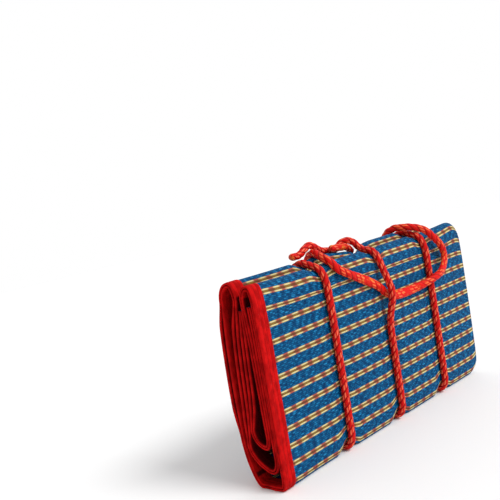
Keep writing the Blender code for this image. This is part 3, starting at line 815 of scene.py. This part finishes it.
def woven_points(path, normals, splay, raised, columns, reach):
    """Settled points of one face of the woven sheet, as an array of rows by columns."""
    grid = np.zeros((len(path), len(columns), 3))
    for index, (u, angle) in enumerate(columns):
        out = reach + raised[:, index] + splay * splay_at(u)
        offset = path + normals * (math.cos(angle) * out)[:, None]
        along = u + math.sin(angle) * out
        grid[:, index] = settle(along, offset[:, 0], offset[:, 1], soft_tie_share)
    return grid


def make_woven_mat(material):
    """The whole mat as one thin closed sheet: its straws are raised wherever they show."""
    rows, is_plain, ribbed, path, normals, splay = woven_rows()
    columns = woven_columns()
    turn_from = next(index for index, (_, angle) in enumerate(columns) if angle > 0.0)
    ribbed_to = turn_from + TURN_STEPS + RIBBED_BACK_COLUMNS
    heights = rib_height(rows, ribbed)
    fade = np.ones(len(columns))
    fade[ribbed_to:] = 0.0
    level = 0.5 * RIB_RAISE
    raised = level + np.outer(heights - level, fade) - RIB_RAISE
    half = 0.5 * SHEET_SPACING
    outer = woven_points(path, normals, splay, raised, columns, half + 0.5 * SHEET_THICKNESS)
    inner = woven_points(path, normals, splay, np.zeros_like(raised), columns, half - 0.5 * SHEET_THICKNESS)
    mesh = sheet_mesh(outer, inner, rows, columns, np.flatnonzero(is_plain), ribbed_to)
    return finished("woven_mat", mesh, material)


def point_numbers(grid):
    """The number of each point of a grid, row by row."""
    return np.arange(grid.shape[0] * grid.shape[1]).reshape(grid.shape[:2])


def square(numbers, low, high, column):
    """The face between two rows of a grid, from one column to the next."""
    return (numbers[low, column], numbers[low, column + 1], numbers[high, column + 1], numbers[high, column])


def sheet_mesh(outer, inner, rows, columns, plain, ribbed_to):
    """One closed mesh: an outer face with every row as far as a column, and an inner one with few rows."""
    at = point_numbers(outer)
    under = at + at.size
    row_count, column_count = at.shape
    faces = []
    for row in range(row_count - 1):
        faces += [square(at, row, row + 1, column) for column in range(ribbed_to)]
    for low, high in zip(plain, plain[1:]):
        seam = at[low:high + 1, ribbed_to]
        faces.append((*seam[::-1], at[low, ribbed_to + 1], at[high, ribbed_to + 1]))
        faces += [square(at, low, high, column) for column in range(ribbed_to + 1, column_count - 1)]
        faces += [square(under, high, low, column) for column in range(column_count - 1)]
        faces.append((*at[low:high + 1, 0], under[high, 0], under[low, 0]))
        faces.append((at[high, -1], at[low, -1], under[low, -1], under[high, -1]))
    for column in range(column_count - 1):
        for row, way in ((0, 1), (-1, -1)):
            edge = (at[row, column + 1], at[row, column], under[row, column], under[row, column + 1])
            faces.append(edge[::way])
    return mesh_with_places("woven_mat", (outer, inner), faces, straw_places(rows, columns), "straw")


def straw_places(rows, columns):
    """Where each point is on the flat mat: millimetres along the straws, and ribs across them."""
    turn = 0.5 * (SHEET_SPACING + SHEET_THICKNESS)
    along = []
    for u, angle in columns:
        if angle >= math.pi:
            along.append(2.0 * (BUNDLE_LENGTH - 0.5 * SHEET_SPACING) + math.pi * turn - u)
        else:
            along.append(u + angle * turn)
    return grid_places(along, rows)


def grid_places(across, down):
    """The two parts of each point's place in a grid, row by row."""
    return np.stack(np.meshgrid(across, down), axis=-1).reshape(-1, 2)


def mesh_with_places(name, grids, faces, places, map_name):
    """A mesh of the points of two like grids that its faces use, with their places in a named map."""
    points = np.vstack([grid.reshape(-1, 3) for grid in grids])
    places = np.tile(places, (2, 1))
    used = np.zeros(len(points), dtype=bool)
    for face in faces:
        used[list(face)] = True
    new_index = (np.cumsum(used) - 1).tolist()
    kept_faces = [tuple(new_index[corner] for corner in face) for face in faces]
    mesh = bpy.data.meshes.new(name)
    mesh.from_pydata(to_world(points[used]).tolist(), [], kept_faces)
    corners = np.empty(len(mesh.loops), dtype=np.int32)
    mesh.loops.foreach_get("vertex_index", corners)
    layer = mesh.uv_layers.new(name=map_name)
    layer.uv.foreach_set("vector", places[used][corners].astype(np.float32).ravel())
    return mesh


TAPE_ROW_STEP = 2.4
TAPE_FACE_U = (25.5, 24.8, 23.4, 21.6, 19.6, 18.4, 17.6, 16.4, 13.7, 11.0, 9.9, 9.1, 7.9, 5.9, 4.1, 2.7)
TAPE_BACK_U = (25.5, 21.6, 17.6, 13.7, 9.9, 5.9, 2.7)
TAPE_RIDGES = 3.0
TAPE_RIDGE = 0.44
TAPE_PUFF = 0.45
TAPE_WRAP_STEPS = 6
OUTSIDE_FRONT_Y = 9.0
OUTSIDE_BACK_Y = 63.0
OUTSIDE_TOP_Z = 300.0
OUTSIDE_BASE_Z = 14.0
# Where the painted shade on the tape between the layers begins, and how far in it reaches its full share.
GAP_SHADE_FROM = 0.3
GAP_SHADE_REACH = 3.0
TAPE_PUCKER = 0.16
TAPE_PUCKER_STEP = 7.5
TAPE_PUCKER_DRIFT = (1.3, 37.0)
TAPE_EDGE_WAVE = 0.5
TAPE_WAVE_STEPS = (23.0, 61.0)
TAPE_RIDGE_FULLNESS = 0.6
TAPE_PUFF_FULLNESS = 0.7


def tape_section(place, side, splay):
    """The tape's section in one place along the strip: (u, distance from the layer)."""
    hold = 0.5 * SHEET_THICKNESS + TAPE_CLEARANCE + 0.5 * TAPE_THICKNESS
    puff = TAPE_PUFF * splay
    short_wave, long_wave = TAPE_WAVE_STEPS
    wave = TAPE_EDGE_WAVE * math.sin(place / short_wave + side) * math.cos(place / long_wave)
    drift, drift_step = TAPE_PUCKER_DRIFT
    turn = 2.0 * math.pi * place / TAPE_PUCKER_STEP + drift * math.sin(place / drift_step)
    pucker = TAPE_PUCKER * math.sin(turn)
    section = []
    for u in TAPE_FACE_U:
        inward = (u - EDGE_U) / (TAPE_WIDTH - EDGE_U)
        ridge = TAPE_RIDGE * abs(math.sin(TAPE_RIDGES * math.pi * inward)) ** TAPE_RIDGE_FULLNESS
        swell = pucker * math.sin(math.pi * inward) + puff * (1.0 - inward) ** TAPE_PUFF_FULLNESS
        section.append((u + wave * inward, hold + ridge + swell))
    for step in range(1, TAPE_WRAP_STEPS):
        angle = math.pi * step / TAPE_WRAP_STEPS
        reach = hold + puff
        section.append((EDGE_U - CLEARANCE - reach * math.sin(angle), reach * math.cos(angle)))
    for u in TAPE_BACK_U[::-1]:
        inward = (u - EDGE_U) / (TAPE_WIDTH - EDGE_U)
        section.append((u + wave * inward, -hold - puff * (1.0 - inward) ** TAPE_PUFF_FULLNESS))
    return section


def make_tape(name, side, material):
    """The tape folded round one bound edge, along the whole strip, as a thin closed sheet."""
    path, normals, _, splay = dense_strip()
    along = lengths_along(path)
    places = np.linspace(0.0, along[-1], 1 + round(along[-1] / TAPE_ROW_STEP))
    centre = at_places(places, along, path)
    out = at_places(places, along, normals)
    apart = np.interp(places, along, splay)
    lines = []
    for place, at, normal, extra in zip(places, centre, out, apart):
        section = np.array(tape_section(place, side, extra))
        middle = 0.5 * SHEET_SPACING + extra * splay_at(section[:, 0])
        spots = at + np.outer(side * (middle + section[:, 1]), normal)
        lines.append(settle(section[:, 0], spots[:, 0], spots[:, 1]))
    grid = np.array(lines)
    across = lengths_along(grid[len(grid) // 2])
    mesh = closed_grid(name, grid, TAPE_THICKNESS, grid_places(across, places), "tape")
    # Painted shade where the tape lies between the layers.
    store(mesh, "painted_gap_shade", np.tile(gap_shade_share(centre, grid).ravel(), 2))
    return finished(name, mesh, material)


def gap_shade_share(centre, grid):
    """How much painted shade each point of the tape gets for lying between the layers: 0 at its edge and
    outside, 1 well inside.
    """
    y, z = centre[:, 0], centre[:, 1]
    on_outside = (y < OUTSIDE_FRONT_Y) | (y > OUTSIDE_BACK_Y) | (z > OUTSIDE_TOP_Z) | (z < OUTSIDE_BASE_Z)
    behind = smooth((grid[:, :, 0] - grid[:, :, 0].min(axis=1)[:, None] - GAP_SHADE_FROM) / GAP_SHADE_REACH)
    shown = np.zeros_like(behind)
    shown[on_outside, :len(TAPE_FACE_U)] = 1.0
    return behind * (1.0 - shown)


def closed_grid(name, grid, thickness, places, map_name):
    """A grid of points thickened evenly about its middle, as one closed mesh with a map."""
    normals = np.cross(np.gradient(grid, axis=1), np.gradient(grid, axis=0))
    out = normals / np.linalg.norm(normals, axis=2)[..., None] * (0.5 * thickness)
    at = point_numbers(grid)
    under = at + at.size
    faces = []
    for row in range(len(at) - 1):
        for column in range(at.shape[1] - 1):
            faces.append(square(at, row, row + 1, column))
            faces.append(square(under, row, row + 1, column)[::-1])
    rim = [*at[0], *at[1:, -1], *at[-1, -2::-1], *at[-2:0:-1, 0]]
    for here, ahead in zip(rim, rim[1:] + rim[:1]):
        faces.append((ahead, here, at.size + here, at.size + ahead))
    return mesh_with_places(name, (grid + out, grid - out), faces, places, map_name)


# Materials


def linear(code):
    """A colour such as #0A5FA8 as the shader wants it."""
    parts = []
    for place in (1, 3, 5):
        value = int(code[place:place + 2], 16) / 255.0
        parts.append(value / 12.92 if value <= 0.04045 else ((value + 0.055) / 1.055) ** 2.4)
    return (*parts, 1.0)


class Value:
    """What comes out of a shader node, to calculate with."""

    def __init__(self, tree, socket):
        self.tree = tree
        self.socket = socket

    def apply(self, operation, *others):
        return self.tree.math(operation, self, *others)

    def __rsub__(self, other):
        return self.tree.math("SUBTRACT", other, self)

    __add__ = partialmethod(apply, "ADD")
    __sub__ = partialmethod(apply, "SUBTRACT")
    __mul__ = partialmethod(apply, "MULTIPLY")
    __truediv__ = partialmethod(apply, "DIVIDE")
    __mod__ = partialmethod(apply, "FLOORED_MODULO")
    __pow__ = partialmethod(apply, "POWER")
    __gt__ = partialmethod(apply, "GREATER_THAN")
    __lt__ = partialmethod(apply, "LESS_THAN")
    __abs__ = partialmethod(apply, "ABSOLUTE")
    floor = partialmethod(apply, "FLOOR")
    fract = partialmethod(apply, "FRACT")
    sine = partialmethod(apply, "SINE")

    def wave(self, step):
        """A sine that repeats at every step."""
        return (self * (2.0 * math.pi / step)).sine()

    def ramp(self, low, high):
        """0 where this is at low and 1 where it is at high, easing between them."""
        inputs = dict(enumerate((self, low, high, 0.0, 1.0)))
        return self.tree.made("MapRange", inputs, interpolation_type="SMOOTHSTEP")

    def from_ends(self):
        """0 where this is 0 or 1, and a half where it is a half."""
        return 0.5 - abs(self - 0.5)

    def off_middle(self):
        """0 where this is a half, and 1 where it is 0 or 1."""
        return abs(self - 0.5) * 2.0


class Tree:
    """Builds shader nodes from short calls."""

    def __init__(self, owner):
        owner.use_nodes = True
        self.tree = owner.node_tree

    def made(self, kind, inputs, output=0, **settings):
        """What comes out of a new node with these inputs and settings."""
        node = self.tree.nodes.new("ShaderNode" + kind)
        for name, setting in settings.items():
            setattr(node, name, setting)
        for name, value in inputs.items():
            self.join(value, node.inputs[name])
        return Value(self, node.outputs[output])

    def join(self, value, socket):
        if isinstance(value, Value):
            self.tree.links.new(value.socket, socket)
        else:
            socket.default_value = linear(value) if isinstance(value, str) else value

    def math(self, operation, *values):
        return self.made("Math", dict(enumerate(values)), operation=operation)

    def mix(self, share, first, second):
        return self.made("Mix", {0: share, 6: first, 7: second}, 2, data_type="RGBA")

    def noise(self, x, y, stretch, scale=1.0, detail=2.0):
        """Noise over a place whose two parts are stretched apart."""
        place = self.made("CombineXYZ", {0: x * stretch[0], 1: y * stretch[1]})
        return self.made("TexNoise", {"Vector": place, "Scale": scale, "Detail": detail})

    def chance(self, value):
        """A number from 0 to 1 that is different for each whole value."""
        return self.made("TexWhiteNoise", {"W": value}, noise_dimensions="1D")

    def stored(self, name):
        """A value kept at the mesh's points."""
        return self.made("Attribute", {}, "Fac", attribute_name=name)


class Shade(Tree):
    """Builds one material's nodes."""

    def __init__(self, name, map_name=None):
        self.material = bpy.data.materials.new(name)
        super().__init__(self.material)
        self.shader = self.tree.nodes["Principled BSDF"]
        if map_name:
            place = self.made("UVMap", {}, uv_map=map_name)
            self.x = self.made("SeparateXYZ", {0: place}, "X")
            self.y = self.made("SeparateXYZ", {0: place}, "Y")

    def finish(self, height, depth, **values):
        """Gives the shader its values and its raised places, and returns the material."""
        values["Normal"] = self.made("Bump", {"Strength": 1.0, "Distance": depth, "Height": height})
        self.set(**values)
        return self.material

    def set(self, **values):
        for name, value in values.items():
            self.join(value, self.shader.inputs[name.replace("_", " ")])


BLUE = "#004E7F"
# Painted highlight for the middle of each blue float.
BLUE_HIGHLIGHT = "#2285BC"
BLUE_DARK = "#003362"
# Painted shade for the furrows between the blue straws.
BLUE_FURROW_SHADE = "#032A38"
PALE_YELLOW = "#DACB92"
GOLD = "#8A682A"
RED_BROWN = "#A9554A"
BROWN = "#6E3D2C"
# Painted shade for the furrows in the stripe.
STRIPE_FURROW_SHADE = "#54421C"

# The dashed stripe: three straws of a repeat. Dashes are in millimetres, and their edges in shares of one.
REPEAT_RIBS = 9.0
STRIPE_RIBS = 3.0
DASH = 27.0
DASH_DRIFT = 0.4
DASH_CHANCE = 6.0
DASH_UNEVEN = 9.0
DASH_STRETCH = (0.1, 3.7)
UPPER_EDGES = (0.09, 0.36)
MIDDLE_EDGES = (0.12, 0.44)
LOWER_EDGES = (0.06, 0.33)
LOWER_LATE = 2.5

# The blue straws' floats over the thread, their streaks, the painted highlight on each float's middle, and the
# painted shade in the furrows between straws.
FLOAT_LENGTH = 17.0
FLOAT_CHANCE = 0.7
FLOAT_EDGES = (0.8, 0.25)
STREAK_STRETCH = (0.09, 1.0)
DARK_STREAKS = (0.3, 0.6)
HIGHLIGHT_STREAKS = (0.4, 0.7)
FURROW_SHARPNESS = 3.5
FURROW_SHARE = 0.88
STRIPE_REACH = 1.2
STRAW_DEPTH = 0.00022


def straw_material():
    """Flat plastic straws over thread: blue ones, and dashed pale yellow, gold and red-brown stripes, with
    painted shade in the furrows between straws and a painted highlight on the blue floats.
    """
    shade = Shade("woven_straw", "straw")
    x, rib = shade.x, shade.y.floor()
    from_crest = shade.y.fract().off_middle()
    stripe_place = shade.y + 1.0
    in_repeat = stripe_place % REPEAT_RIBS
    stripe = (stripe_place / REPEAT_RIBS).floor()

    drift = stripe * DASH_DRIFT + shade.chance(stripe) * DASH_CHANCE
    drift += shade.noise(x, rib, DASH_STRETCH) * DASH_UNEVEN
    dash = ((x + drift) / DASH).fract()
    lower_dash = (dash + (1.0 - LOWER_LATE / DASH)).fract()
    upper = shade.mix(dash.from_ends().ramp(*UPPER_EDGES), RED_BROWN, PALE_YELLOW)
    middle = shade.mix(dash.from_ends().ramp(*MIDDLE_EDGES), BROWN, GOLD)
    lower = shade.mix(lower_dash.from_ends().ramp(*LOWER_EDGES), RED_BROWN, PALE_YELLOW)
    stripes = shade.mix(in_repeat > 1.0, lower, middle)
    stripes = shade.mix(in_repeat > 2.0, stripes, upper)

    brick = rib % 2.0 * 0.5 + shade.chance(rib) * FLOAT_CHANCE
    on_float = (x / FLOAT_LENGTH + brick).fract().off_middle().ramp(*FLOAT_EDGES)
    streak = shade.noise(x, rib, STREAK_STRETCH)
    blue = shade.mix(streak.ramp(*DARK_STREAKS), BLUE_DARK, BLUE)
    # Painted highlight on each float's middle, made patchy by the random streaks.
    blue = shade.mix(on_float * streak.ramp(*HIGHLIGHT_STREAKS), blue, BLUE_HIGHLIGHT)
    colour = shade.mix(in_repeat < STRIPE_RIBS, blue, stripes)

    # Painted shade in the furrows between straws: olive in the stripe, navy elsewhere.
    in_stripe = abs(in_repeat - 0.5 * STRIPE_RIBS) < STRIPE_REACH
    straw_furrow_shade = shade.mix(in_stripe, BLUE_FURROW_SHADE, STRIPE_FURROW_SHADE)
    colour = shade.mix(from_crest**FURROW_SHARPNESS * FURROW_SHARE, colour, straw_furrow_shade)
    height = 1.0 - from_crest**2.0 + on_float * 0.5
    return shade.finish(height, STRAW_DEPTH, Base_Color=colour, Roughness=0.55, Specular_IOR_Level=0.06)


TAPE_RED = "#AA0607"
TAPE_LIGHT = "#D00F0F"
# Painted shade for the furrows between the tape's fine ribs and for the grooves on its face.
TAPE_SHADE = "#820508"
# Painted shade for the tape where it lies between the layers.
TAPE_GAP_SHADE = "#260005"
TAPE_MOTTLE_SCALE = 0.06
TAPE_MOTTLE_STRETCH = (2.2, 1.0)
TAPE_MOTTLE_EDGES = (0.35, 0.65)
TAPE_RIB_STEP = 1.3
TAPE_RIB_EDGES = (0.2, -1.0)
TAPE_RIB_SHARE = 0.16
TAPE_YARN_STEP = 1.1
TAPE_GROOVE_EDGES = (0.45, 0.05)
TAPE_GROOVE_SHARE = 0.55
TAPE_GAP_SHADE_SHARE = 0.88
TAPE_DEPTH = 0.00007


def tape_material():
    """Red woven tape: fine ribs across it and a little sheen, with painted shade in the furrows between its
    ribs, in the grooves on its face and where it lies between the layers.
    """
    shade = Shade("binding_tape", "tape")
    ribs = shade.y.wave(TAPE_RIB_STEP)
    yarns = shade.x.wave(TAPE_YARN_STEP)
    mottle = shade.noise(shade.x, shade.y, TAPE_MOTTLE_STRETCH, TAPE_MOTTLE_SCALE, 1.0)
    colour = shade.mix(mottle.ramp(*TAPE_MOTTLE_EDGES), TAPE_RED, TAPE_LIGHT)
    # Painted shade in the furrows between the fine ribs.
    colour = shade.mix(ribs.ramp(*TAPE_RIB_EDGES) * TAPE_RIB_SHARE, colour, TAPE_SHADE)
    # Painted shade in the grooves between the ridges on the tape's face.
    face_width = TAPE_WIDTH - EDGE_U
    ridge = shade.x.wave(2.0 * face_width / TAPE_RIDGES)
    groove = abs(ridge).ramp(*TAPE_GROOVE_EDGES) * (shade.x < face_width)
    colour = shade.mix(groove * TAPE_GROOVE_SHARE, colour, TAPE_SHADE)
    # Painted shade where the tape lies between the layers.
    colour = shade.mix(shade.stored("painted_gap_shade") * TAPE_GAP_SHADE_SHARE, colour, TAPE_GAP_SHADE)
    height = ribs + yarns * 0.5
    return shade.finish(height, TAPE_DEPTH, Base_Color=colour, Roughness=0.7, Specular_IOR_Level=0.05)


# A cord's own colour, its paler yarns', and the painted shade in its furrows.
TIE_COLOURS = ("#D40D09", "#FF7F58", "#900606")
HANDLE_COLOURS = ("#DC140B", "#FF8048", "#A00807")
FRAYED = "#F09A38"
FRAYED_SHARE = 0.8
YARN_COUNT = 9.0
YARN_NUMBERS = 13.0
YARN_EDGES = (0.75, 0.3)
CREST_EDGES = (0.78, 0.5)
YARNS_RED = 0.45
PALE_EDGES = (0.7, 1.0)
PALE_SHARE = 0.8
FILAMENT_STRETCH = (45.0, 0.09)
PATCH_STRETCH = (3.0, 0.05)
FIBRE_STRETCH = (22.0, 0.06)
FIBRE_EDGES = (0.42, 0.6)
BUNCH_STRETCH = (3.0, 0.045)
BUNCH_EDGES = (0.5, 0.6)
FURROW_EDGES = (0.55, 1.0)
FILAMENT_DEPTH = 0.0004


def rope_material(name, lay, red, paler, strand_furrow_shade):
    """Twisted synthetic cord: fine filaments along each strand, some of them paler, and painted shade in the
    furrows between strands where it isn't slack.
    """
    shade = Shade(name, "lay")
    x, y = shade.x, shade.y
    around = x + y / lay
    strand = x * float(STRAND_COUNT) + 0.5
    from_crest = strand.fract().off_middle()
    filament = shade.noise(around, y, FILAMENT_STRETCH, detail=3.0)
    patch = shade.noise(x, y, PATCH_STRETCH)
    yarn = around * YARN_COUNT
    yarn_number = yarn.floor() % YARN_COUNT
    strand_number = strand.floor() % float(STRAND_COUNT)
    picked = shade.chance(yarn_number + strand_number * YARN_NUMBERS) > YARNS_RED
    pale = yarn.fract().off_middle().ramp(*YARN_EDGES) * from_crest.ramp(*CREST_EDGES)
    pale = pale * picked * (filament + patch).ramp(*PALE_EDGES) * PALE_SHARE
    colour = shade.mix(pale, red, paler)
    slack = shade.stored("slack")
    frayed = shade.noise(around, y, FIBRE_STRETCH).ramp(*FIBRE_EDGES)
    frayed = frayed * shade.noise(around, y, BUNCH_STRETCH).ramp(*BUNCH_EDGES)
    colour = shade.mix(frayed * (slack * FRAYED_SHARE), colour, FRAYED)
    # Painted shade in the furrows between strands, left out where the cord is slack.
    colour = shade.mix(from_crest.ramp(*FURROW_EDGES) * (1.0 - slack), colour, strand_furrow_shade)
    return shade.finish(filament, FILAMENT_DEPTH, Base_Color=colour, Roughness=0.5, Specular_IOR_Level=0.12)


# The whole model


CAMERA_PLACE = (-1.046, -0.8022, 0.466)
CAMERA_RIGHT = (0.6895, -0.7037, -0.1715)
CAMERA_FORWARD = (0.7001, 0.7082, -0.0909)
CAMERA_LENS = 53.28
CAMERA_SENSOR = 36.0
CAMERA_NEAR = 0.01


def make_camera():
    data = bpy.data.cameras.new("photo_camera")
    data.lens = CAMERA_LENS
    data.sensor_width = CAMERA_SENSOR
    data.clip_start = CAMERA_NEAR
    camera = bpy.data.objects.new("photo_camera", data)
    back = -Vector(CAMERA_FORWARD).normalized()
    right = Vector(CAMERA_RIGHT)
    right = (right - back * right.dot(back)).normalized()
    up = back.cross(right)
    turn = Matrix((right, up, back)).transposed().to_4x4()
    camera.matrix_world = Matrix.Translation(CAMERA_PLACE) @ turn
    bpy.context.scene.collection.objects.link(camera)
    bpy.context.scene.camera = camera


def eased_route(route, reach):
    """An open cord's line, eased and evenly divided."""
    return resampled(eased(resampled(route, FINE_STEP), reach), ROPE_STEP)


def make_cords(tie_look, handle_look):
    """The three ties and the carry cord."""
    for name, node, tie_u in (("left_tie", "tie_left", TIE_U[0]), ("right_tie", "tie_right", TIE_U[2])):
        loop = resampled(eased(tie_loop(tie_u), TIE_EASE, closed=True), ROPE_STEP, closed=True)
        tie = rope(name, loop, TIE_RADIUS, TIE_LAY, True, tie_look)
        dress(tie, node)
    route = eased_route(middle_tie_route(), KNOT_EASE)
    tie = rope("middle_tie", route, TIE_RADIUS, TIE_LAY, False, tie_look, (0.0, 1.0, 0.0), SHORT_END_SLACK)
    dress(tie, "tie_middle")
    route = eased_route(handle_route(), HANDLE_EASE)
    handle = rope("carrying_cord", route, HANDLE_RADIUS, HANDLE_LAY, False, handle_look, (0.0, 1.0, 0.0),
                  HANDLE_SLACK_PARTS, HANDLE_SQUASH)
    dress(handle, "carry_cord")


def dress(piece, node):
    """Puts a piece on the mat's one body and in place of its solid."""
    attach(piece, BODY)
    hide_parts(node)


FLOOR_SIZE = 8.0


def make_floor():
    mesh = bpy.data.meshes.new("floor")
    half = 0.5 * FLOOR_SIZE
    corners = [(-half, -half, 0.0), (half, -half, 0.0), (half, half, 0.0), (-half, half, 0.0)]
    mesh.from_pydata(corners, [], [(0, 1, 2, 3)])
    shade = Shade("floor")
    shade.set(Base_Color=(0.96, 0.96, 0.96, 1.0), Roughness=0.8, Specular_IOR_Level=0.1)
    floor = finished("floor", mesh, shade.material)


KEY_FROM = (0.35, -1.5, 1.65)
KEY_STRENGTH = 1.9
KEY_SOFTNESS = math.radians(22.0)
WORLD_LIGHT = (0.3, 1.05)
WORLD_SEEN = 1.0


def make_lights():
    data = bpy.data.lights.new("key", "SUN")
    data.energy = KEY_STRENGTH
    data.angle = KEY_SOFTNESS
    key = bpy.data.objects.new("key", data)
    key.location = KEY_FROM
    key.rotation_euler = (-Vector(KEY_FROM)).to_track_quat("-Z", "Y").to_euler()
    bpy.context.scene.collection.objects.link(key)
    world = bpy.data.worlds.new("studio")
    tree = Tree(world)
    direction = tree.made("TexCoord", {}, "Generated")
    inputs = dict(enumerate((tree.made("SeparateXYZ", {0: direction}, "X"), -1.0, 1.0, *WORLD_LIGHT)))
    sideways = tree.made("MapRange", inputs)
    seen = tree.made("LightPath", {}, "Is Camera Ray")
    strength = tree.made("MapRange", {"Value": seen, "To Min": sideways, "To Max": WORLD_SEEN})
    background = world.node_tree.nodes["Background"]
    tree.join((1.0, 1.0, 1.0, 1.0), background.inputs["Color"])
    tree.join(strength, background.inputs["Strength"])
    bpy.context.scene.world = world
    bpy.context.scene.view_settings.view_transform = "Standard"


def main():
    make_camera()
    tie_look = rope_material("tie_cord", TIE_LAY, *TIE_COLOURS)
    handle_look = rope_material("handle_cord", HANDLE_LAY, *HANDLE_COLOURS)
    make_cords(tie_look, handle_look)
    tape_look = tape_material()
    for name, node, side in (("outer_tape", "edge_tape_outer", 1.0), ("inner_tape", "edge_tape_inner", -1.0)):
        tape = make_tape(name, side, tape_look)
        dress(tape, node)
    mat = make_woven_mat(straw_material())
    dress(mat, "mat_sheet")
    make_floor()
    make_lights()


main()
